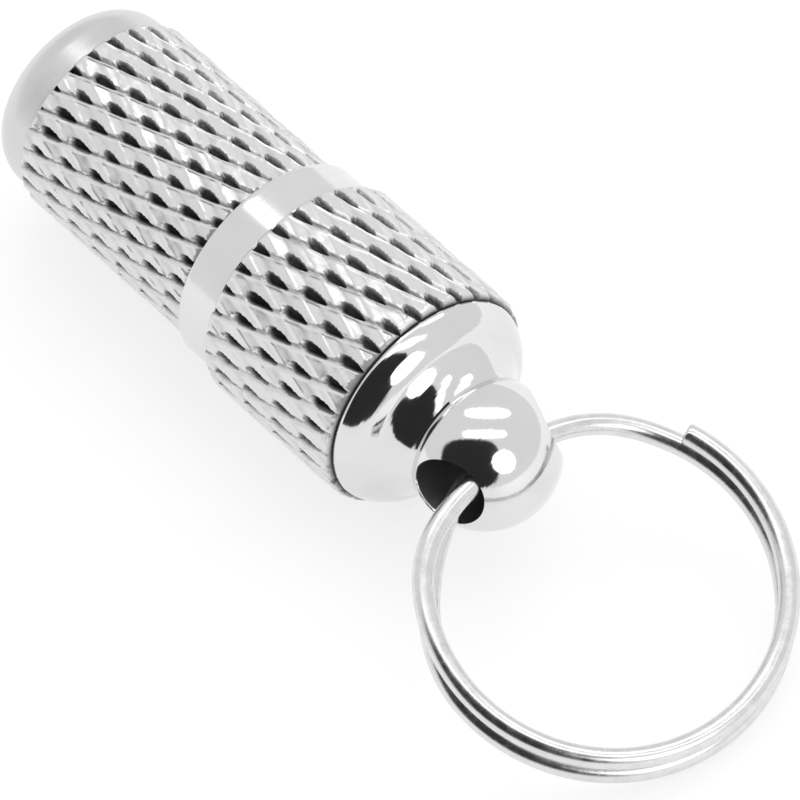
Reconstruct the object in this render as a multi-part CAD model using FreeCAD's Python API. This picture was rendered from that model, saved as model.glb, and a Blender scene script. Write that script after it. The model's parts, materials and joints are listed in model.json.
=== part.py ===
import FreeCAD, Part
import math
import os

# A knurled metal capsule for a rolled paper slip, carried on a split ring.
# The capsule lies along X with its closed end at -X and its eyelet at +X.
# Stations along X are measured from the cap's mouth, then the whole model is
# moved so that the origin is under the middle of its length, on the surface
# that it lies on. Millimetres.

# Tube: closed end, knurled barrel, threaded neck
TUBE_R = 4.10            # plain turned blank
TUBE_CREST_R = 4.38      # tops of the knurl
TUBE_END_X = -12.36
TUBE_END_ROUND = 1.50
TUBE_KNURL_X0 = -10.04
TUBE_FACE_X = -0.10      # shoulder that meets the cap's mouth
CREST_CHAMFER = 0.20
NECK_R = 3.40            # crest of the outside thread
NECK_RELIEF_R = 3.22     # plain seat of the seal, behind the thread
NECK_RELIEF_X = 0.95
NECK_END_X = 4.60
NECK_CHAMFER = 0.30
BORE_R = 2.60
BORE_FLOOR_X = -10.20
BORE_FLOOR_CHAMFER = 0.80

# Cap sleeve: polished band at the mouth, knurled grip, bored through
BAND_R = 4.63
BAND_END_X = 1.92
CAP_CREST_R = 5.00
CAP_END_X = 9.43
SEAL_SEAT_R = 4.20
SEAL_SEAT_X = 0.95
THREAD_BORE_R = 3.50
EDGE_BREAK = 0.12

# Eyelet stud: spigot, convex collar, cove, eyelet head with a cross hole
SPIGOT_END_X = 6.40
SPIGOT_CHAMFER = 0.30
COLLAR_R = 4.69
COLLAR_FLAT_X = 9.58
COLLAR_MID = (10.27, 4.34)
COVE_START = (10.72, 3.76)
COVE_MID = (11.30, 3.22)
COVE_END = (12.05, 2.95)
BALL_R = 3.06
BALL_X = 13.14
BALL_START_X = 12.14
HOLE_X = 13.92           # the cross hole is drilled nearer the ball's tip
HOLE_OFFSET = 0.50       # and off the capsule's axis
HOLE_R = 1.50
HOLE_EDGE = 0.10         # round on the hole's two rims
HOLE_ROLL = 2.5          # the capsule lies rolled, so the hole's near end is raised

# Seal and paper slip
SEAL_CORD_R = 0.42
SEAL_RING_R = 3.70
SEAL_X = 0.40
SLIP_R = 2.30
SLIP_HOLLOW_R = 1.45
SLIP_X0 = -9.50
SLIP_LENGTH = 13.50

# Split ring: two turns of round wire and the step between them, drooping from
# the eyelet until the far side rests. Angles are in the ring's own plane,
# counted from its far side. Each turn is pressed flatter where it nears the eyelet.
WIRE_R = 0.45
TURN_R = 7.18
TURN_GAP = 0.02          # between the two turns, along the ring's own axis
TURN_SHIFT = (-0.08, 0.07)   # the upper turn's centre from the mean centre
RING_CENTRE = (20.52, -0.38, -1.547)
RING_DROOP = 20.75
OUTER_END_DEG = 114.0    # free end of the upper turn
STEP_START_DEG = -186.0  # the upper turn starts to step down
STEP_END_DEG = -240.0
INNER_END_DEG = -536.0   # free end of the lower turn, inside the hole
FLAT_REACH_DEG = 54.0
FLATS = ((-180.0, 0.80), (-502.0, 0.45))   # middle of each flat, and its depth
BENT_STEP_DEG = 9.0      # between points of a bent stretch

AXIS_Z = CAP_CREST_R
LEVEL = WIRE_R + TURN_GAP / 2.0


def vector(x, y, z):
    return FreeCAD.Vector(x, y, z)


def spun(edges):
    """A solid of revolution about X from a closed outline in the XZ half plane."""
    face = Part.Face(Part.Wire(edges))
    return face.revolve(vector(0, 0, 0), vector(1, 0, 0), 360)


def line(a, b):
    return Part.LineSegment(vector(a[0], 0, a[1]), vector(b[0], 0, b[1])).toShape()


def arc(a, b, c):
    points = [vector(p[0], 0, p[1]) for p in (a, b, c)]
    return Part.Arc(points[0], points[1], points[2]).toShape()


def lines(points):
    return [line(a, b) for a, b in zip(points, points[1:])]


def rod(radius, x0, x1):
    return Part.makeCylinder(radius, x1 - x0, vector(x0, 0, 0), vector(1, 0, 0))


def tube():
    round_mid = math.sqrt(0.5) * TUBE_END_ROUND
    flat_r = TUBE_R - TUBE_END_ROUND
    end_arc = arc(
        (TUBE_END_X, flat_r),
        (TUBE_END_X + TUBE_END_ROUND - round_mid, flat_r + round_mid),
        (TUBE_END_X + TUBE_END_ROUND, TUBE_R),
    )
    outline = [line((TUBE_END_X, 0), (TUBE_END_X, flat_r)), end_arc]
    outline += lines([
        (TUBE_END_X + TUBE_END_ROUND, TUBE_R),
        (TUBE_KNURL_X0, TUBE_R),
        (TUBE_KNURL_X0 + CREST_CHAMFER, TUBE_CREST_R),
        (TUBE_FACE_X - CREST_CHAMFER, TUBE_CREST_R),
        (TUBE_FACE_X, TUBE_CREST_R - CREST_CHAMFER),
        (TUBE_FACE_X, NECK_RELIEF_R),
        (NECK_RELIEF_X, NECK_RELIEF_R),
        (NECK_RELIEF_X + NECK_CHAMFER, NECK_R),
        (NECK_END_X - NECK_CHAMFER, NECK_R),
        (NECK_END_X, NECK_R - NECK_CHAMFER),
        (NECK_END_X, BORE_R),
        (BORE_FLOOR_X + BORE_FLOOR_CHAMFER, BORE_R),
        (BORE_FLOOR_X, BORE_R - BORE_FLOOR_CHAMFER),
        (BORE_FLOOR_X, 0),
        (TUBE_END_X, 0),
    ])
    return spun(outline)


def cap_sleeve():
    outline = lines([
        (0, SEAL_SEAT_R),
        (0, BAND_R - EDGE_BREAK),
        (EDGE_BREAK, BAND_R),
        (BAND_END_X, BAND_R),
        (BAND_END_X + CREST_CHAMFER, CAP_CREST_R),
        (CAP_END_X - CREST_CHAMFER, CAP_CREST_R),
        (CAP_END_X, CAP_CREST_R - CREST_CHAMFER),
        (CAP_END_X, THREAD_BORE_R),
        (SEAL_SEAT_X, THREAD_BORE_R),
        (SEAL_SEAT_X, SEAL_SEAT_R),
        (0, SEAL_SEAT_R),
    ])
    return spun(outline)


def ball_point(x):
    return (x, math.sqrt(BALL_R ** 2 - (x - BALL_X) ** 2))


def eyelet_stud():
    outline = lines([
        (SPIGOT_END_X, 0),
        (SPIGOT_END_X, THREAD_BORE_R - SPIGOT_CHAMFER),
        (SPIGOT_END_X + SPIGOT_CHAMFER, THREAD_BORE_R),
        (CAP_END_X, THREAD_BORE_R),
        (CAP_END_X, COLLAR_R - EDGE_BREAK),
        (CAP_END_X + EDGE_BREAK, COLLAR_R),
        (COLLAR_FLAT_X, COLLAR_R),
    ])
    ball_start = ball_point(BALL_START_X)
    ball_tip = (BALL_X + BALL_R, 0)
    outline.append(arc((COLLAR_FLAT_X, COLLAR_R), COLLAR_MID, COVE_START))
    outline.append(arc(COVE_START, COVE_MID, COVE_END))
    outline.append(line(COVE_END, ball_start))
    outline.append(arc(ball_start, ball_point(BALL_X), ball_tip))
    outline.append(line(ball_tip, (SPIGOT_END_X, 0)))
    body = spun(outline).cut(cross_hole())
    return body.makeFillet(HOLE_EDGE, [edge for edge in body.Edges if on_ball(edge)])


def on_ball(edge):
    """True for the hole's two rims: edges on the ball that run clear of X."""
    first = edge.FirstParameter
    length = edge.LastParameter - first
    points = [edge.valueAt(first + length * share) for share in (0.1, 0.35, 0.6, 0.9)]
    centre = vector(BALL_X, 0, 0)
    return all(
        abs(point.distanceToPoint(centre) - BALL_R) < 0.001 and hole_distance(point) < HOLE_R + 0.001
        for point in points
    )


def hole_distance(point):
    """How far a point is from the cross hole's own axis."""
    roll = math.radians(HOLE_ROLL)
    rise = point.z * math.cos(roll) + point.y * math.sin(roll)
    return math.hypot(point.x - HOLE_X, rise - HOLE_OFFSET)


def cross_hole():
    """The eyelet's hole, across the ball, rolled about X."""
    reach = 2.0 * BALL_R
    hole = Part.makeCylinder(
        HOLE_R, 2 * reach, vector(HOLE_X, -reach, HOLE_OFFSET), vector(0, 1, 0)
    )
    hole.rotate(vector(HOLE_X, 0, 0), vector(1, 0, 0), -HOLE_ROLL)
    return hole


def o_ring():
    return Part.makeTorus(SEAL_RING_R, SEAL_CORD_R, vector(SEAL_X, 0, 0), vector(1, 0, 0))


def paper_slip():
    x1 = SLIP_X0 + SLIP_LENGTH
    return rod(SLIP_R, SLIP_X0, x1).cut(rod(SLIP_HOLLOW_R, SLIP_X0, x1))


def turn(side, start_deg, end_deg):
    """A round flat turn of wire, on the upper level (side 1) or the lower (side -1)."""
    wire = Part.makeTorus(
        TURN_R, WIRE_R, vector(0, 0, 0), vector(0, 0, 1), 0, 360, end_deg - start_deg
    )
    wire.rotate(vector(0, 0, 0), vector(0, 0, 1), start_deg)
    wire.translate(vector(TURN_SHIFT[0] * side, TURN_SHIFT[1] * side, LEVEL * side))
    return wire


def wire_point(degrees):
    """A point of the wire's centre line, with the step and the flats in it."""
    share = (STEP_START_DEG - degrees) / (STEP_START_DEG - STEP_END_DEG)
    share = min(1.0, max(0.0, share))
    side = 1 - 2 * share * share * (3 - 2 * share)
    radius = TURN_R
    for middle, depth in FLATS:
        away = min(1.0, abs(degrees - middle) / FLAT_REACH_DEG)
        radius -= depth * (1 + math.cos(math.pi * away)) / 2
    angle = math.radians(degrees)
    x = radius * math.cos(angle) + TURN_SHIFT[0] * side
    y = radius * math.sin(angle) + TURN_SHIFT[1] * side
    return vector(x, y, LEVEL * side)


def wire_direction(degrees):
    """The way the wire runs as the angle falls."""
    return (wire_point(degrees - 0.01) - wire_point(degrees + 0.01)).normalize()


def bent_wire(start_deg, end_deg):
    """A stretch of wire that is not a plain turn, swept along its centre line."""
    count = max(2, round((start_deg - end_deg) / BENT_STEP_DEG))
    places = [start_deg + (end_deg - start_deg) * i / count for i in range(count + 1)]
    path = Part.BSplineCurve()
    path.interpolate(
        Points=[wire_point(place) for place in places],
        InitialTangent=wire_direction(start_deg),
        FinalTangent=wire_direction(end_deg),
    )
    section = Part.Circle(wire_point(start_deg), wire_direction(start_deg), WIRE_R).toShape()
    return Part.Wire(path.toShape()).makePipeShell([Part.Wire(section)], True, False)


def split_ring():
    """Two turns of wire through the eyelet."""
    upper_flat = FLATS[0][0] + FLAT_REACH_DEG
    lower_flat = FLATS[1][0] + FLAT_REACH_DEG
    upper = turn(1, upper_flat, OUTER_END_DEG)
    middle = bent_wire(upper_flat, STEP_END_DEG)
    lower = turn(-1, lower_flat, STEP_END_DEG)
    tail = bent_wire(lower_flat, INNER_END_DEG)
    ring = upper.fuse([middle, lower, tail])
    ring.rotate(vector(0, 0, 0), vector(0, 1, 0), RING_DROOP)
    ring.translate(vector(*RING_CENTRE))
    return ring


def main():
    shapes = {
        "tube": tube(),
        "cap_sleeve": cap_sleeve(),
        "eyelet_stud": eyelet_stud(),
        "o_ring": o_ring(),
        "paper_slip": paper_slip(),
        "split_ring": split_ring(),
    }
    ring_far_x = shapes["split_ring"].optimalBoundingBox(False).XMax
    middle_x = (TUBE_END_X + ring_far_x) / 2.0
    os.makedirs("parts", exist_ok=True)
    for name, shape in shapes.items():
        shape.translate(vector(-middle_x, 0, AXIS_Z))
        solid = shape.Solids[0]
        solid.exportStep("parts/" + name + ".step")
        box = solid.BoundBox
        corners = [box.XMin, box.YMin, box.ZMin, box.XMax, box.YMax, box.ZMax]
        rounded = [round(value, 3) for value in corners]
        print(name, len(shape.Solids), solid.isValid(), round(solid.Volume, 2), rounded)
    print("middle_x", round(middle_x, 4))
    print("hole", round(HOLE_X - middle_x, 4), 0, AXIS_Z, "offset", HOLE_OFFSET)


main()
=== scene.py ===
import json
import math
import random

import bpy
from mathutils import Matrix, Vector, noise


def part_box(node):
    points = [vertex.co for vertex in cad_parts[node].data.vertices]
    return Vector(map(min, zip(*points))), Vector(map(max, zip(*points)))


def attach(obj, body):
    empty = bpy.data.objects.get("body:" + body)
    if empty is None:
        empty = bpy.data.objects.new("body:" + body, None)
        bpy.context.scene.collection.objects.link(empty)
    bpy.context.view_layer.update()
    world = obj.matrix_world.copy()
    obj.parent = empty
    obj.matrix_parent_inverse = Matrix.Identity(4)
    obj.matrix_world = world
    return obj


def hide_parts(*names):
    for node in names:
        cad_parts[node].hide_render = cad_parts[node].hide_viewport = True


# A knurled metal capsule with a screw-on tube, lying on a white table with its
# split ring. Lengths are in metres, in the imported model's own frame: X runs
# from the tube's closed end to the eyelet, Z is up, the table is at z = 0.

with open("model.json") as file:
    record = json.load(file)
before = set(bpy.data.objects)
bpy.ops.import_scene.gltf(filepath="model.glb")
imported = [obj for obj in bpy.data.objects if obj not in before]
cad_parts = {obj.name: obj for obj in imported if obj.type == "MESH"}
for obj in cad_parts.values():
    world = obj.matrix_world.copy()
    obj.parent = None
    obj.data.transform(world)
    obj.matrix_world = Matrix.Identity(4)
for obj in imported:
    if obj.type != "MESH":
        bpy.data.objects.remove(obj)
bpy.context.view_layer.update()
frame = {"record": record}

MM = 0.001
TAU = 2 * math.pi

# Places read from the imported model
CAP_LOW, CAP_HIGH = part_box("cap_sleeve")
TUBE_LOW, TUBE_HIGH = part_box("tube")
STUD_LOW, STUD_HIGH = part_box("eyelet_stud")
SEAL_LOW, SEAL_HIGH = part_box("o_ring")
SLIP_LOW, SLIP_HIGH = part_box("paper_slip")
MOUTH_X = CAP_LOW[0]                      # the cap's mouth, where x is counted from
AXIS_Z = (CAP_LOW[2] + CAP_HIGH[2]) / 2
JOINTS = {j["name"]: j for j in frame["record"]["behaviour"]["joints"]}
SWING = JOINTS["ring_swing"]
HOLE_AXIS = Vector(SWING["axis"]).normalized()
HOLE_POINT = Vector(SWING["pos_m"])


# ---------------------------------------------------------------- mesh tools

def new_piece(name, verts, faces, material, smooth_angle=40):
    mesh = bpy.data.meshes.new(name)
    mesh.from_pydata(verts, [], faces)
    mesh.validate()
    mesh.materials.append(material)
    for polygon in mesh.polygons:
        polygon.use_smooth = True
    mesh.set_sharp_from_angle(angle=math.radians(smooth_angle))
    piece = bpy.data.objects.new(name, mesh)
    bpy.context.scene.collection.objects.link(piece)
    return piece


def spin_rows(rows, columns, closed=False):
    """Closed mesh about the capsule's axis. A row is (x, radius) in mm from the
    mouth, where radius may be a function of the angle. Rows are staggered by
    half a column, so that a knurl's two directions both follow mesh edges. A
    row of radius None is a single point on the axis. A closed piece joins its
    last row to its first, and has an even number of rows."""
    verts = []
    starts = []
    for i, (x, radius) in enumerate(rows):
        starts.append(len(verts))
        px = MOUTH_X + x * MM
        if radius is None:
            verts.append((px, 0.0, AXIS_Z))
            continue
        for j in range(columns):
            angle = TAU * (j + 0.5 * (i % 2)) / columns
            r = radius(angle) if callable(radius) else radius
            verts.append((px, r * MM * math.cos(angle), AXIS_Z + r * MM * math.sin(angle)))
    faces = []
    for i in range(len(rows) if closed else len(rows) - 1):
        a, b = starts[i], starts[(i + 1) % len(rows)]
        if rows[i][1] is None:
            faces += [(a, b + (j + 1) % columns, b + j) for j in range(columns)]
            continue
        if rows[(i + 1) % len(rows)][1] is None:
            faces += [(b, a + j, a + (j + 1) % columns) for j in range(columns)]
            continue
        for j in range(columns):
            k = (j + 1) % columns
            if i % 2 == 0:
                faces.append((a + j, a + k, b + j))
                faces.append((b + j, a + k, b + k))
            else:
                faces.append((a + j, b + k, b + j))
                faces.append((a + j, a + k, b + k))
    return verts, faces


def arc_points(start, middle, end, count):
    """Points of a circular arc through three (x, r) points, ends included."""
    ax, ay = start
    bx, by = middle
    cx, cy = end
    d = 2 * (ax * (by - cy) + bx * (cy - ay) + cx * (ay - by))
    sa, sb, sc = ax * ax + ay * ay, bx * bx + by * by, cx * cx + cy * cy
    ux = (sa * (by - cy) + sb * (cy - ay) + sc * (ay - by)) / d
    uy = (sa * (cx - bx) + sb * (ax - cx) + sc * (bx - ax)) / d
    radius = math.hypot(ax - ux, ay - uy)
    t0 = math.atan2(ay - uy, ax - ux)
    t1 = math.atan2(by - uy, bx - ux)
    t2 = math.atan2(cy - uy, cx - ux)
    forward = (t2 - t0) % TAU
    if (t1 - t0) % TAU > forward:
        forward -= TAU
    steps = [t0 + forward * i / count for i in range(count + 1)]
    return [(ux + radius * math.cos(t), uy + radius * math.sin(t)) for t in steps]


def straight_points(start, end, count):
    return [
        (start[0] + (end[0] - start[0]) * i / count, start[1] + (end[1] - start[1]) * i / count)
        for i in range(count + 1)
    ]


# ------------------------------------------------------------------- knurling

LIP = 0.045                     # height of the burrs beside the grooves, mm
LINE, LINE_HALF = 0.12, 0.11    # first set: depth in mm, half width in pitches
CROSS, CROSS_HALF = 0.05, 0.30  # second set
LINE_BURR, CROSS_BURR, BURR_HALF = 0.17, 0.42, 0.07   # burrs: places and half width in pitches
PIT, PIT_HALF, PIT_REACH = 0.40, 0.30, 0.36           # pit above each crossing
PIT_CLOSE = 0.07                # how far a pit runs past its line, in pitches
PIT_WALL, PIT_FADE = 3.0, 0.6   # steepness of its sides; how much shallower its far end is
UNEVEN, UNEVEN_SCALE = 0.4, 90  # how much the pits differ from each other
STRENGTHS = (0.85, 1.15)        # each groove's depth is multiplied by a share in this range
ROUGH, ROUGH_SCALE = 0.012, 2.2   # roughness of the plating in mm, and its noise scale
END_DROP, END_ROWS = 0.16, 2.0  # chamfer at each end of a knurl, in mm and mesh rows


def nearest_groove(phase, strengths):
    """Signed distance in pitches to the nearest groove, and that groove's strength."""
    index = math.floor(phase + 0.5)
    return phase - index, strengths[index % len(strengths)]


def pit_depth(p, q, strengths):
    """Depth of the pit at p and q pitches from its two grooves. The pit reaches
    far on one side of its line, and closes soon on the other."""
    along = -p / PIT_REACH if p < 0 else -p / PIT_CLOSE
    if not -1 < along < 1:
        return 0.0
    uneven = 1 + UNEVEN * noise.noise(strengths * UNEVEN_SCALE)
    width = PIT_HALF * uneven * math.sqrt(1 - max(0.0, along) ** 2)
    wall = min(1.0, PIT_WALL * max(0.0, 1 - abs(q) / width))
    fall = 1 - PIT_FADE * along if along > 0 else 1 + along
    return PIT * uneven * wall * fall


class Knurl:
    """Two crossed sets of helical grooves, with a domed pit above each crossing.
    The mesh follows the first set, which is the sharper one. Starts and leans
    are given as (first set, second set)."""

    def __init__(self, crest, starts, lean_deg, x0, x1, per_cell, seed):
        self.crest = crest
        self.starts = starts
        self.x0 = x0
        self.x1 = x1
        self.columns = starts[0] * per_cell
        pitch = TAU * crest / starts[0]
        self.row = pitch / 2 / math.tan(math.radians(lean_deg[0])) / per_cell
        self.lean = [math.tan(math.radians(lean)) / crest for lean in lean_deg]
        rng = random.Random(seed)
        self.lines = [rng.uniform(*STRENGTHS) for _ in range(starts[0])]
        self.crosses = [rng.uniform(*STRENGTHS) for _ in range(starts[1])]
        self.shift = Vector((rng.uniform(0, 50), rng.uniform(0, 50), rng.uniform(0, 50)))

    def depth(self, x, angle):
        """Depth below the burrs' tips, in mm."""
        p, line_strength = nearest_groove((angle + self.lean[0] * x) * self.starts[0] / TAU, self.lines)
        q, cross_strength = nearest_groove((angle - self.lean[1] * x) * self.starts[1] / TAU, self.crosses)
        line = LINE * line_strength * max(0.0, 1 - abs(p) / LINE_HALF)
        cross = CROSS * cross_strength * max(0.0, 1 - abs(q) / CROSS_HALF)
        burr = LIP * max(0.0, 1 - abs(p - LINE_BURR) / BURR_HALF, 1 - abs(q - CROSS_BURR) / BURR_HALF)
        pit = pit_depth(p, q, Vector((line_strength, cross_strength, 0.0)))
        spot = Vector((x, math.cos(angle) * self.crest, math.sin(angle) * self.crest)) * ROUGH_SCALE
        rough = ROUGH * noise.noise(spot + self.shift)
        return LIP + ROUGH + max(line, pit) + cross - burr + rough

    def rows(self, base0, base1):
        """Rows from x0 to x1. Each end face drops to the plain turned radius."""
        count = int((self.x1 - self.x0) / self.row)
        step = (self.x1 - self.x0) / count
        rows = [(self.x0, base0)]
        for i in range(count + 1):
            x = self.x0 + step * i
            edge = min(i, count - i)
            drop = END_DROP * max(0.0, 1 - edge / END_ROWS)
            rows.append((x, lambda angle, x=x, drop=drop: self.crest - max(drop, self.depth(x, angle))))
        rows.append((self.x1, base1))
        return rows


# ------------------------------------------------------------------ materials

class Surface:
    """A material whose tone, roughness and relief follow noise."""

    def __init__(self, name):
        self.material = bpy.data.materials.new(name)
        self.material.use_nodes = True
        self.nodes = self.material.node_tree.nodes
        self.links = self.material.node_tree.links
        self.shader = self.nodes["Principled BSDF"]
        self.coords = self.nodes.new("ShaderNodeTexCoord").outputs["Object"]

    def grain(self, scale, detail, roughness=0.5, coords=None):
        node = self.nodes.new("ShaderNodeTexNoise")
        node.inputs["Scale"].default_value = scale
        node.inputs["Detail"].default_value = detail
        node.inputs["Roughness"].default_value = roughness
        self.links.new(self.coords if coords is None else coords, node.inputs["Vector"])
        return node.outputs["Fac"]

    def ramp(self, value, socket, stops):
        """Drive one of the shader's inputs by a value, through grey (place, level) stops."""
        node = self.nodes.new("ShaderNodeValToRGB")
        elements = node.color_ramp.elements
        for element, (place, level) in ((elements[0], stops[0]), (elements[1], stops[-1])):
            element.position = place
            element.color = (level, level, level, 1)
        for place, level in stops[1:-1]:
            elements.new(place).color = (level, level, level, 1)
        self.links.new(value, node.inputs["Fac"])
        self.links.new(node.outputs["Color"], self.shader.inputs[socket])

    def relief(self, height, strength, distance=0.00002):
        node = self.nodes.new("ShaderNodeBump")
        node.inputs["Strength"].default_value = strength
        node.inputs["Distance"].default_value = distance
        self.links.new(height, node.inputs["Height"])
        self.links.new(node.outputs["Normal"], self.shader.inputs["Normal"])

    def level(self, socket, value):
        self.shader.inputs[socket].default_value = value

    def glow(self, strength):
        self.level("Emission Color", (1, 1, 1, 1))
        self.level("Emission Strength", strength)


def plated_metal(name, tone, rough_low, rough_high, lathe, metallic=1.0):
    """Bright plating: faint clouding of the polish, and fine turning lines."""
    surface = Surface(name)
    cloud = surface.grain(420.0, 4)
    surface.ramp(cloud, "Base Color", [(0.3, tone * 0.94), (0.7, tone)])
    surface.ramp(cloud, "Roughness", [(0.3, rough_low), (0.75, rough_high)])
    surface.level("Metallic", metallic)
    stretch = surface.nodes.new("ShaderNodeMapping")
    stretch.inputs["Scale"].default_value = (9.0, 0.12, 0.12)   # drawn out around the axis
    surface.links.new(surface.coords, stretch.inputs["Vector"])
    lines = surface.grain(1500.0, 3, coords=stretch.outputs["Vector"])
    surface.relief(lines, lathe)
    return surface.material


def knurled_metal(name, tone):
    """Plated knurling: the grooves are duller, and their colour is darkened with depth as painted shade,
    under a little random grain.
    """
    surface = Surface(name)
    cavity = surface.nodes.new("ShaderNodeAttribute")
    cavity.attribute_name = "cavity"
    grain = surface.grain(2600.0, 5, 0.6)
    mix = surface.nodes.new("ShaderNodeMath")
    mix.operation = "MULTIPLY_ADD"
    mix.inputs[1].default_value = 0.22
    surface.links.new(grain, mix.inputs[0])
    surface.links.new(cavity.outputs["Fac"], mix.inputs[2])
    groove_shade_and_grain = mix.outputs["Value"]
    # painted shade: the deeper the groove, the darker the colour, almost black in the pits
    surface.ramp(groove_shade_and_grain, "Base Color", [(0.30, tone), (0.50, tone * 0.6), (0.90, tone * 0.08)])
    surface.ramp(groove_shade_and_grain, "Roughness", [(0.2, 0.22), (0.9, 0.45)])
    surface.level("Metallic", 0.6)
    surface.relief(grain, 0.35)
    return surface.material


def drawn_wire():
    surface = Surface("drawn_wire")
    scratches = surface.grain(1800.0, 5, 0.6)
    surface.ramp(scratches, "Base Color", [(0.3, 0.68), (0.7, 0.80)])
    surface.ramp(scratches, "Roughness", [(0.3, 0.20), (0.75, 0.32)])
    surface.level("Metallic", 1.0)
    surface.relief(scratches, 0.15)
    return surface.material


def seal_rubber():
    surface = Surface("seal_rubber")
    grain = surface.grain(3500.0, 4)
    surface.ramp(grain, "Base Color", [(0.3, 0.018), (0.7, 0.035)])
    surface.level("Roughness", 0.6)
    surface.relief(grain, 0.3)
    return surface.material


def slip_paper():
    surface = Surface("slip_paper")
    fibres = surface.grain(2400.0, 6, 0.65)
    surface.ramp(fibres, "Base Color", [(0.3, 0.78), (0.7, 0.88)])
    surface.level("Roughness", 0.85)
    surface.relief(fibres, 0.4, 0.00003)
    return surface.material


KNURLED = knurled_metal("knurled_plating", 0.74)
TURNED = plated_metal("turned_plating", 0.78, 0.12, 0.18, 0.12, 0.95)
POLISHED = plated_metal("polished_plating", 0.78, 0.06, 0.12, 0.12)
SATIN = plated_metal("satin_plating", 0.68, 0.22, 0.32, 0.3, 0.9)
# painted shade: the cross hole's walls are coloured dark grey, for the shade inside the hole
HOLE_SHADE_METAL = plated_metal("hole_painted_shade", 0.16, 0.30, 0.42, 0.3, 0.8)
WIRE = drawn_wire()
RUBBER = seal_rubber()
PAPER = slip_paper()


CAVITY_DEPTH = 0.4              # depth below the crests that counts as the deepest, mm


def set_cavity(piece, crest, inside):
    """A value from 0 on a crest to 1 in the deepest pit, kept on the mesh. It
    is 0 out to the radius inside."""
    # the value darkens the knurl's grooves as painted shade
    attribute = piece.data.attributes.new("cavity", "FLOAT", "POINT")
    values = []
    for vertex in piece.data.vertices:
        r = math.hypot(vertex.co.y, vertex.co.z - AXIS_Z) / MM
        depth = (crest - r) / CAVITY_DEPTH if r > inside else 0.0
        values.append(max(0.0, min(1.0, depth)))
    attribute.data.foreach_set("value", values)


def assign(piece, materials, choose):
    """Material slots by place: choose(x, r) gives an index, in mm."""
    mesh = piece.data
    mesh.materials.clear()
    for material in materials:
        mesh.materials.append(material)
    for polygon in mesh.polygons:
        centre = polygon.center
        x = (centre.x - MOUTH_X) / MM
        r = math.hypot(centre.y, centre.z - AXIS_Z) / MM
        polygon.material_index = choose(x, r)


# ----------------------------------------------------------------------- tube

TUBE_END_X = (TUBE_LOW[0] - MOUTH_X) / MM
TUBE_R = 4.10                   # plain end, mm
TUBE_CREST = 4.38               # over the knurling's crests, mm
TUBE_SKIN_R = 3.6               # everything beyond this radius is on the outside
END_ROUND = 1.50
TUBE_KNURL_X0 = -10.04
TUBE_FACE_X = -0.10
NECK_RELIEF_R = 3.22
NECK_RELIEF_X = 0.95
NECK_CREST = 3.40
NECK_ROOT = 3.04
NECK_CHAMFER = 0.32
NECK_END_X = (TUBE_HIGH[0] - MOUTH_X) / MM
THREAD_PITCH = 0.75
THREAD_STEP = 0.075             # between mesh rows, mm
THREAD_FADE = 0.5               # length over which a thread runs out, mm
THREAD_SLOPE = 2.6              # steepness of its flanks
THREAD_FLAT = 0.15              # leaves the neck thread's crest a little flat
BORE_R = 2.60
BORE_FLOOR_X = -10.20
BORE_CHAMFER, BORE_CORNER = 0.08, 0.8
TUBE_KNURL = Knurl(TUBE_CREST, (28, 25), (18.0, 22.0), TUBE_KNURL_X0, TUBE_FACE_X, 16, 3)


def thread_radius(x):
    """The neck's right-hand thread: its radius at one station, all the way round."""
    start = (x - NECK_RELIEF_X) / THREAD_FADE
    end = (NECK_END_X - x) / THREAD_FADE
    fade = min(1.0, max(0.0, start), max(0.0, end))

    def radius(angle):
        phase = (x / THREAD_PITCH + angle / TAU) % 1.0
        groove = min(1.0, max(0.0, THREAD_SLOPE * abs(phase - 0.5) - THREAD_FLAT))
        return NECK_CREST + (NECK_ROOT - NECK_CREST) * groove * fade
    return radius


def tube_slot(x, r):
    """0 knurled, 1 satin on the plain end, 2 turned on the neck and in the bore."""
    if x < TUBE_END_X + 0.01 or (x < TUBE_KNURL_X0 - 0.01 and r > BORE_R):
        return 1
    if r > TUBE_SKIN_R and x < TUBE_FACE_X + 0.001:
        return 0
    return 2


def build_tube():
    flat_r = TUBE_R - END_ROUND
    slant = END_ROUND * math.sqrt(0.5)
    rows = [(TUBE_END_X, None)]
    rows += [(TUBE_END_X, flat_r * share) for share in (0.25, 0.5, 0.75)]
    rows += arc_points((TUBE_END_X, flat_r),
                       (TUBE_END_X + END_ROUND * (1 - math.sqrt(0.5)), flat_r + slant),
                       (TUBE_END_X + END_ROUND, TUBE_R), 22)
    rows.append((TUBE_KNURL_X0 - 0.3, TUBE_R))
    rows.append((TUBE_KNURL_X0 - 0.02, TUBE_R))
    rows += TUBE_KNURL.rows(TUBE_R - 0.12, TUBE_R - 0.3)
    rows.append((TUBE_FACE_X, NECK_RELIEF_R + 0.1))
    rows.append((TUBE_FACE_X + 0.06, NECK_RELIEF_R))
    rows.append((NECK_RELIEF_X, NECK_RELIEF_R))
    x = NECK_RELIEF_X + 0.06
    while x < NECK_END_X - 0.3:
        rows.append((x, thread_radius(x)))
        x += THREAD_STEP
    rows.append((NECK_END_X, NECK_CREST - NECK_CHAMFER))
    rows.append((NECK_END_X, BORE_R + BORE_CHAMFER))
    rows.append((NECK_END_X - BORE_CHAMFER, BORE_R))
    rows += [(x, BORE_R) for x in (0.0, -4.0, BORE_FLOOR_X + BORE_CORNER)]
    rows.append((BORE_FLOOR_X, BORE_R - BORE_CORNER))
    rows.append((BORE_FLOOR_X, None))
    verts, faces = spin_rows(rows, TUBE_KNURL.columns)
    tube = new_piece("tube_body", verts, faces, KNURLED, 30)
    assign(tube, [KNURLED, SATIN, TURNED], tube_slot)
    set_cavity(tube, TUBE_CREST, TUBE_SKIN_R)
    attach(tube, "tube")
    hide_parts("tube")


build_tube()

# ------------------------------------------------------------------ cap sleeve

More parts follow.
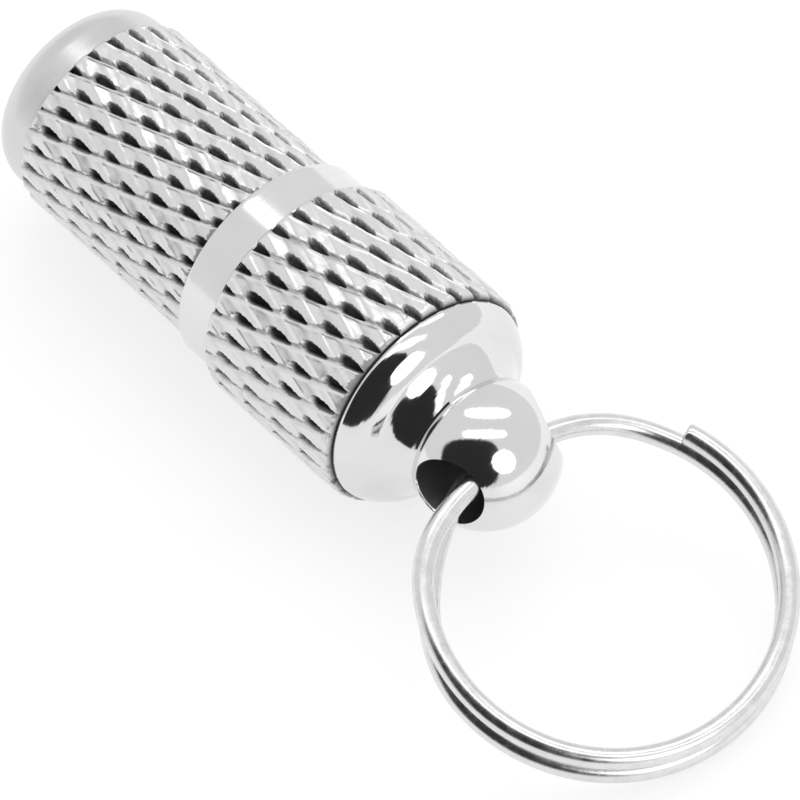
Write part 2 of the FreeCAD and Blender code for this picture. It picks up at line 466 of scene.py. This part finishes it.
BAND_R = 4.63
BAND_END_X = 1.92
BAND_EDGE = 0.12
CAP_SKIN_R = 4.25               # everything beyond this radius is on the outside
CAP_CREST = (CAP_HIGH[2] - CAP_LOW[2]) / 2 / MM
CAP_END_X = (CAP_HIGH[0] - MOUTH_X) / MM
SEAL_SEAT_R = 4.20
SEAL_SEAT_X = 0.95
THREAD_BORE_R = 3.50
THREAD_GROOVE_R = 3.78
BORE_THREAD_END_X = 6.3
BORE_PLAIN_X = 6.6
CAP_KNURL = Knurl(CAP_CREST, (30, 28), (17.8, 17.9), BAND_END_X + 0.02, CAP_END_X, 16, 11)


def bore_thread(x):
    """The inside thread: a groove cut outward from the bore."""
    fade = min(1.0, max(0.0, (BORE_THREAD_END_X - x) / THREAD_FADE))

    def radius(angle):
        phase = (x / THREAD_PITCH + angle / TAU) % 1.0
        groove = max(0.0, 1.0 - THREAD_SLOPE * abs(phase - 0.5))
        return THREAD_BORE_R + (THREAD_GROOVE_R - THREAD_BORE_R) * groove * fade
    return radius


def cap_slot(x, r):
    """0 knurled, 1 turned on the band and inside."""
    return 0 if x > BAND_END_X + 0.005 and r > CAP_SKIN_R else 1


def build_cap_sleeve():
    rows = [(SEAL_SEAT_X, THREAD_BORE_R + 0.1), (SEAL_SEAT_X, SEAL_SEAT_R - 0.04),
            (SEAL_SEAT_X - 0.04, SEAL_SEAT_R), (0.05, SEAL_SEAT_R), (0.0, SEAL_SEAT_R + 0.06)]
    rows += arc_points((0.0, BAND_R - BAND_EDGE), (BAND_EDGE * 0.29, BAND_R - BAND_EDGE * 0.29),
                       (BAND_EDGE, BAND_R), 5)
    rows += straight_points((0.3, BAND_R), (BAND_END_X - 0.14, BAND_R), 8)
    rows += arc_points((BAND_END_X - 0.1, BAND_R), (BAND_END_X - 0.03, BAND_R - 0.02),
                       (BAND_END_X, BAND_R - 0.08), 4)
    rows += CAP_KNURL.rows(BAND_R - 0.1, BAND_R)
    rows.append((CAP_END_X, 4.2))
    rows.append((CAP_END_X, THREAD_BORE_R))
    x = BORE_PLAIN_X
    rows.append((x, THREAD_BORE_R))
    while x > SEAL_SEAT_X + 0.3:
        x -= THREAD_STEP
        rows.append((x, bore_thread(x)))
    if len(rows) % 2:
        rows.append((SEAL_SEAT_X + 0.1, THREAD_BORE_R))
    verts, faces = spin_rows(rows, CAP_KNURL.columns, closed=True)
    sleeve = new_piece("cap_sleeve_body", verts, faces, KNURLED, 30)
    assign(sleeve, [KNURLED, TURNED], cap_slot)
    set_cavity(sleeve, CAP_CREST, CAP_SKIN_R)
    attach(sleeve, "cap")
    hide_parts("cap_sleeve")


build_cap_sleeve()

# ----------------------------------------------------------------- eyelet stud

SPIGOT_END_X = (STUD_LOW[0] - MOUTH_X) / MM
SPIGOT_NOSE_R = 3.2
COLLAR_R = 4.69
COLLAR_FLAT_X = 9.58
COLLAR_MID = (10.27, 4.34)
COVE_START = (10.72, 3.76)
COVE_MID = (11.30, 3.22)
COVE_END = (12.05, 2.95)
BALL_R = 3.06
BALL_X = (STUD_HIGH[0] - MOUTH_X) / MM - BALL_R
BALL_START_X = 12.14
BALL_CENTRE = Vector((MOUTH_X + BALL_X * MM, 0, AXIS_Z))
HOLE_R = 1.50
HOLE_ROUND = 0.10


def stud_outline():
    """(x, r) from the spigot's face, over the collar, cove and ball, to the tip."""
    points = [(SPIGOT_END_X, SPIGOT_NOSE_R), (SPIGOT_END_X + 0.3, THREAD_BORE_R),
              (CAP_END_X - 0.01, THREAD_BORE_R), (CAP_END_X, THREAD_BORE_R + 0.02),
              (CAP_END_X, COLLAR_R - 0.12)]
    points += arc_points((CAP_END_X + 0.005, COLLAR_R - 0.1), (CAP_END_X + 0.035, COLLAR_R - 0.03),
                         (CAP_END_X + 0.12, COLLAR_R), 6)
    points += arc_points((COLLAR_FLAT_X, COLLAR_R), COLLAR_MID, COVE_START, 26)
    points += arc_points(COVE_START, COVE_MID, COVE_END, 26)[1:]
    start = math.asin((BALL_START_X - BALL_X) / BALL_R)
    count = 72
    for i in range(count):
        t = start + (math.pi / 2 - start) * i / count
        points.append((BALL_X + BALL_R * math.sin(t), BALL_R * math.cos(t)))
    return points


def outline_normal(outline, x):
    """Outward (nx, nr) of the outline at a station beyond the collar's edge."""
    for (xa, ra), (xb, rb) in zip(outline, outline[1:]):
        if xa <= x <= xb and xb > xa:
            return (ra - rb, xb - xa)
    return (1.0, 0.0)


def hole_cutter():
    """The cross hole as a closed mesh. Its edge is rounded evenly along the rim,
    which is not flat, because the hole misses the ball's centre."""
    up = HOLE_AXIS.orthogonal().normalized()
    side = HOLE_AXIS.cross(up)
    middle = HOLE_POINT + HOLE_AXIS * (BALL_CENTRE - HOLE_POINT).dot(HOLE_AXIS)
    # beyond the rim, and wider than the hole, in units of the rounding
    profile = [(-1.0, 0.0), (-0.45, 0.09), (0.0, 0.29), (0.4, 0.62), (0.9, 1.25), (14.0, 17.0)]
    count = 144
    verts = []
    rows = [(-1, step) for step in reversed(profile)] + [(1, step) for step in profile]
    for end, (beyond, wider) in rows:
        for j in range(count):
            angle = TAU * j / count
            out = up * math.cos(angle) + side * math.sin(angle)
            off = (middle + out * HOLE_R * MM - BALL_CENTRE).length / MM
            rim = math.sqrt(BALL_R ** 2 - off ** 2)
            along = end * (rim + beyond * HOLE_ROUND) * MM
            verts.append(middle + HOLE_AXIS * along + out * (HOLE_R + wider * HOLE_ROUND) * MM)
    last = (len(rows) - 1) * count
    faces = [tuple(range(count))[::-1], tuple(last + j for j in range(count))]
    for i in range(len(rows) - 1):
        for j in range(count):
            k = (j + 1) % count
            faces.append((i * count + j, i * count + k, (i + 1) * count + k, (i + 1) * count + j))
    return verts, faces


def build_stud():
    outline = stud_outline()
    rows = [(SPIGOT_END_X, None)] + outline + [(BALL_X + BALL_R, None)]
    verts, faces = spin_rows(rows, 180)
    stud = new_piece("eyelet_stud_body", verts, faces, POLISHED, 50)
    cut_verts, cut_faces = hole_cutter()
    cutter = new_piece("hole_cutter", cut_verts, cut_faces, POLISHED)
    boolean = stud.modifiers.new("hole", "BOOLEAN")
    boolean.operation = "DIFFERENCE"
    boolean.solver = "EXACT"
    boolean.object = cutter
    depsgraph = bpy.context.evaluated_depsgraph_get()
    cut = bpy.data.meshes.new_from_object(stud.evaluated_get(depsgraph))
    stud.modifiers.clear()
    stud.data = cut
    bpy.data.objects.remove(cutter)
    exact_normals(stud, outline)
    cut.materials.clear()
    cut.materials.append(POLISHED)
    cut.materials.append(HOLE_SHADE_METAL)
    # faces in the hole get the dark material, painted shade for the inside of the hole
    for polygon in cut.polygons:
        polygon.material_index = 1 if in_hole(polygon.center) else 0
    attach(stud, "cap")
    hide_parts("eyelet_stud")


SKIN_LEAN = 0.94        # cosine of the most that an outer face leans from the turned surface
WALL_LEAN = 0.1         # cosine of the least angle between a hole wall's normal and the hole
WALL_REACH = 0.02       # how far from the hole's radius a corner of its wall may be, mm
IN_HOLE_REACH = 0.004   # how far beyond the hole's radius a face still counts as in it, mm


def from_hole_axis(point):
    """The way from the hole's axis straight out to a point."""
    off = point - HOLE_POINT
    return off - HOLE_AXIS * off.dot(HOLE_AXIS)


def in_hole(point):
    return from_hole_axis(point).length / MM < HOLE_R + IN_HOLE_REACH


def turned_normal(outline, point):
    """Normal of the turned surface, as if the hole were not there."""
    x = (point.x - MOUTH_X) / MM
    if x > BALL_START_X:
        return (point - BALL_CENTRE).normalized()
    nx, nr = outline_normal(outline, x)
    from_axis = Vector((0.0, point.y, point.z - AXIS_Z))
    return (Vector((nx, 0, 0)) + from_axis.normalized() * nr).normalized()


def exact_normals(stud, outline):
    """Normals from the outline itself, so the cut hole leaves no mark on the polish."""
    mesh = stud.data
    normals = [None] * len(mesh.loops)
    for polygon in mesh.polygons:
        across_hole = abs(polygon.normal.dot(HOLE_AXIS)) < WALL_LEAN
        for index in polygon.loop_indices:
            point = mesh.vertices[mesh.loops[index].vertex_index].co
            away = from_hole_axis(point)
            skin = turned_normal(outline, point)
            past_cap = (point.x - MOUTH_X) / MM > CAP_END_X + 0.001
            if past_cap and skin.dot(polygon.normal) > SKIN_LEAN:
                normals[index] = skin
            elif across_hole and abs(away.length / MM - HOLE_R) < WALL_REACH:
                normals[index] = -away.normalized()
            else:
                normals[index] = polygon.normal.copy()
    mesh.normals_split_custom_set(normals)


build_stud()

# ------------------------------------------------------------------ split ring

WIRE_R = 0.435                # the sized wire is 0.45, and touches the ball at one end of its swing
TURN_R = 7.18                 # centre line of a turn, mm
LEVEL = 0.46                  # each turn's height above or below the ring's middle plane, mm
TURN_SHIFT = (-0.08, 0.07)    # the upper turn's place across the ring, the lower one's is opposite
RING_X, RING_Y, RING_Z = 20.52, -0.38, -1.547   # the ring's centre from the mouth's centre, mm
RING_CENTRE = Vector((MOUTH_X / MM + RING_X, RING_Y, AXIS_Z / MM + RING_Z))
RING_DROOP = 20.75
OUTER_END_DEG = 114.0
STEP_START_DEG = -186.0
STEP_END_DEG = -240.0
INNER_END_DEG = -536.0
FLAT_REACH_DEG = 54.0
FLATS = ((-180.0, 0.80), (-502.0, 0.45))   # where each turn is pressed in, and how far in mm
WIRE_END = ((0.0, 0.80), (0.05, 0.95), (0.14, 1.0))   # rounding: mm along the wire, share of its radius
WIRE_STEPS, WIRE_SIDES = 420, 28


def wire_point(degrees):
    """Centre line of the ring's wire, in the ring's own plane, in mm. Each turn
    is pressed flatter where it nears the eyelet."""
    fraction = min(1.0, max(0.0, (STEP_START_DEG - degrees) / (STEP_START_DEG - STEP_END_DEG)))
    side = 1 - 2 * fraction * fraction * (3 - 2 * fraction)
    radius = TURN_R
    for middle, depth in FLATS:
        away = min(1.0, abs(degrees - middle) / FLAT_REACH_DEG)
        radius -= depth * (1 + math.cos(math.pi * away)) / 2
    angle = math.radians(degrees)
    x = radius * math.cos(angle) + TURN_SHIFT[0] * side
    y = radius * math.sin(angle) + TURN_SHIFT[1] * side
    return Vector((x, y, LEVEL * side))


def wire_places():
    """(degrees, share of the wire's radius) from the outer end to the inner end."""
    total = OUTER_END_DEG - INNER_END_DEG
    length = math.radians(total) * TURN_R
    places = [(along / length, scale) for along, scale in WIRE_END]
    places += [(i / WIRE_STEPS, 1.0) for i in range(1, WIRE_STEPS)]
    places += [(1 - along / length, scale) for along, scale in reversed(WIRE_END)]
    return [(OUTER_END_DEG - total * share, scale) for share, scale in places]


def build_ring():
    place = Matrix.Translation(RING_CENTRE * MM) @ Matrix.Rotation(math.radians(RING_DROOP), 4, "Y")
    verts = []
    faces = []
    rings = []
    for degrees, scale in wire_places():
        centre = wire_point(degrees)
        ahead = (wire_point(degrees - 0.5) - wire_point(degrees + 0.5)).normalized()
        out = ahead.cross(Vector((0, 0, 1))).normalized()
        up = out.cross(ahead)
        rings.append(len(verts))
        for j in range(WIRE_SIDES):
            angle = TAU * j / WIRE_SIDES
            spot = centre + (out * math.cos(angle) + up * math.sin(angle)) * WIRE_R * scale
            verts.append(place @ (spot * MM))
    for a, b in zip(rings, rings[1:]):
        for j in range(WIRE_SIDES):
            k = (j + 1) % WIRE_SIDES
            faces.append((a + j, a + k, b + k, b + j))
    faces.append(tuple(range(WIRE_SIDES))[::-1])
    faces.append(tuple(rings[-1] + j for j in range(WIRE_SIDES)))
    ring = new_piece("split_ring_wire", verts, faces, WIRE, 40)
    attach(ring, "ring")
    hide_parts("split_ring")


build_ring()

# --------------------------------------------------------------- seal and slip

SEAL_RING_R = 3.70
SEAL_CORD_R = 0.42
SEAL_FLASH = 0.012              # height of the moulding line around the seal, mm
SEAL_X = (SEAL_LOW[0] + SEAL_HIGH[0]) / 2
SLIP_R = 2.28
SLIP_HOLLOW_R = 1.50
SLIP_SHEET = 0.11
SLIP_TURNS = 4.3


def build_seal():
    around, cord = 120, 24
    verts = []
    faces = []
    for i in range(around):
        a = TAU * i / around
        for j in range(cord):
            b = TAU * j / cord
            flash = SEAL_FLASH if j in (0, cord // 2) else 0.0
            r = SEAL_RING_R + (SEAL_CORD_R - SEAL_FLASH + flash) * math.cos(b)
            x = SEAL_X + SEAL_CORD_R * MM * math.sin(b)
            verts.append((x, r * MM * math.cos(a), AXIS_Z + r * MM * math.sin(a)))
            k, m = (i + 1) % around, (j + 1) % cord
            faces.append((i * cord + j, k * cord + j, k * cord + m, i * cord + m))
    seal = new_piece("seal_ring", verts, faces, RUBBER)
    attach(seal, "seal")
    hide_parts("o_ring")


def build_slip():
    """A strip of paper wound into a loose spiral roll."""
    steps = 220
    rows = []
    for i in range(steps + 1):
        share = i / steps
        angle = TAU * SLIP_TURNS * share
        r = SLIP_HOLLOW_R + (SLIP_R - SLIP_SHEET - SLIP_HOLLOW_R) * share
        rows.append((angle, r))
    verts = []
    for x in (SLIP_LOW[0], SLIP_HIGH[0]):
        for angle, r in rows:
            for radius in (r, r + SLIP_SHEET):
                verts.append((x, radius * MM * math.cos(angle), AXIS_Z + radius * MM * math.sin(angle)))
    n = 2 * (steps + 1)
    faces = []
    for i in range(steps):
        a = 2 * i
        faces.append((a, a + 2, n + a + 2, n + a))
        faces.append((a + 1, n + a + 1, n + a + 3, a + 3))
        faces.append((a, a + 1, a + 3, a + 2))
        faces.append((n + a, n + a + 2, n + a + 3, n + a + 1))
    faces.append((0, n, n + 1, 1))
    last = 2 * steps
    faces.append((last, last + 1, n + last + 1, n + last))
    slip = new_piece("rolled_slip", verts, faces, PAPER)
    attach(slip, "slip")
    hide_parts("paper_slip")


build_seal()
build_slip()

# ------------------------------------------------------------- table and light

VIEW_AZIMUTH = 57.7
VIEW_ELEVATION = 53.1
VIEW_ROLL = -9.98
LENS = 1600.0
SENSOR = 36.0
SPAN = 31.25 * MM            # width of the picture at the capsule
AIM = (5.14, -5.457)         # from the mouth's centre to the middle of the picture, mm
FLOOR_HALF = 1.6             # half the table's width, m
FLOOR_GLOW = 0.64            # the table's own light, which keeps shadows faint
SKY = 0.86                   # strength of the even white light from all around
KEY_PLACE, KEY_SIZE, KEY_POWER = (-0.05, 0.35, 0.75), (0.9, 0.9), 1.5
LIT_CARD_AWAY, DARK_CARD_AWAY = 0.58, 0.6   # from the ball, m
CARD_SIDES, CARD_RINGS = 64, 12
LIT_SHADE, LIT_GLOW = 0.8, 1.3              # grey level and light of the bright cards


def view_axes():
    az = math.radians(VIEW_AZIMUTH)
    el = math.radians(VIEW_ELEVATION)
    back = Vector((math.sin(az) * math.cos(el), -math.cos(az) * math.cos(el), math.sin(el)))
    right = Vector((math.cos(az), math.sin(az), 0))
    up = back.cross(right)
    roll = math.radians(VIEW_ROLL)
    right, up = right * math.cos(roll) + up * math.sin(roll), up * math.cos(roll) - right * math.sin(roll)
    return right, up, back


def add_camera():
    right, up, back = view_axes()
    distance = SPAN * LENS / SENSOR
    aim = Vector((MOUTH_X, 0, AXIS_Z)) + right * AIM[0] * MM + up * AIM[1] * MM
    data = bpy.data.cameras.new("camera")
    data.lens = LENS
    data.sensor_width = SENSOR
    data.clip_start = 0.01
    camera = bpy.data.objects.new("camera", data)
    matrix = Matrix((right, up, back)).transposed().to_4x4()
    matrix.translation = aim + back * distance
    camera.matrix_world = matrix
    bpy.context.scene.collection.objects.link(camera)
    bpy.context.scene.camera = camera


def add_key_light():
    data = bpy.data.lights.new("key", "AREA")
    data.shape = "RECTANGLE"
    data.size, data.size_y = KEY_SIZE
    data.energy = KEY_POWER
    light = bpy.data.objects.new("key", data)
    light.location = KEY_PLACE
    light.rotation_euler = (-Vector(KEY_PLACE)).to_track_quat("-Z", "Y").to_euler()
    light.visible_glossy = False
    bpy.context.scene.collection.objects.link(light)


def add_floor():
    surface = Surface("white_table")
    surface.ramp(surface.grain(90.0, 3), "Base Color", [(0.3, 0.38), (0.7, 0.40)])
    surface.level("Roughness", 0.6)
    surface.glow(FLOOR_GLOW)
    size = FLOOR_HALF
    corners = [(-size, -size, 0), (size, -size, 0), (size, size, 0), (-size, size, 0)]
    floor = new_piece("white_table", corners, [(0, 1, 2, 3)], surface.material)


def add_card(name, centre, half, square, shade, glow):
    """A studio card, seen only in the polish. Its place and size are given as
    it is mirrored in the ball from the camera: across and up, in ball radii."""
    surface = Surface(name)
    surface.ramp(surface.grain(40.0, 2), "Base Color", [(0.3, shade), (0.7, shade * 1.2)])
    surface.level("Roughness", 0.9)
    surface.glow(glow)
    right, up, back = view_axes()
    distance = LIT_CARD_AWAY if glow else DARK_CARD_AWAY
    verts = []
    for i in range(CARD_RINGS + 1):
        for j in range(CARD_SIDES):
            t = TAU * j / CARD_SIDES
            across = math.copysign(abs(math.cos(t)) ** square, math.cos(t)) * i / CARD_RINGS
            rise = math.copysign(abs(math.sin(t)) ** square, math.sin(t)) * i / CARD_RINGS
            u = centre[0] + half[0] * across
            v = centre[1] + half[1] * rise
            facing = right * u + up * v + back * math.sqrt(max(0.0, 1 - u * u - v * v))
            toward = facing * 2 * facing.dot(back) - back
            verts.append(BALL_CENTRE + toward * distance)
    faces = []
    for i in range(CARD_RINGS):
        for j in range(CARD_SIDES):
            a, b = i * CARD_SIDES, (i + 1) * CARD_SIDES
            k = (j + 1) % CARD_SIDES
            faces.append((a + j, a + k, b + k, b + j))
    card = new_piece(name, verts, faces, surface.material)
    card.visible_camera = False
    card.visible_diffuse = False
    card.visible_shadow = False


def add_world():
    world = bpy.data.worlds.new("studio")
    world.use_nodes = True
    background = world.node_tree.nodes["Background"]
    background.inputs["Color"].default_value = (1, 1, 1, 1)
    background.inputs["Strength"].default_value = SKY
    bpy.context.scene.world = world


def add_studio():
    add_floor()
    add_world()
    add_key_light()
    add_card("dark_wall", (-0.19, -0.13), (0.37, 0.31), 0.6, 0.01, 0.0)
    add_card("round_softbox", (0.233, -0.105), (0.15, 0.15), 1.0, LIT_SHADE, LIT_GLOW)
    add_card("near_strip", (-0.01, 0.245), (0.28, 0.05), 0.6, LIT_SHADE, LIT_GLOW)
    add_card("far_strip", (0.03, 0.51), (0.29, 0.065), 0.7, LIT_SHADE, LIT_GLOW)
    bpy.context.scene.view_settings.view_transform = "Standard"


add_camera()
add_studio()
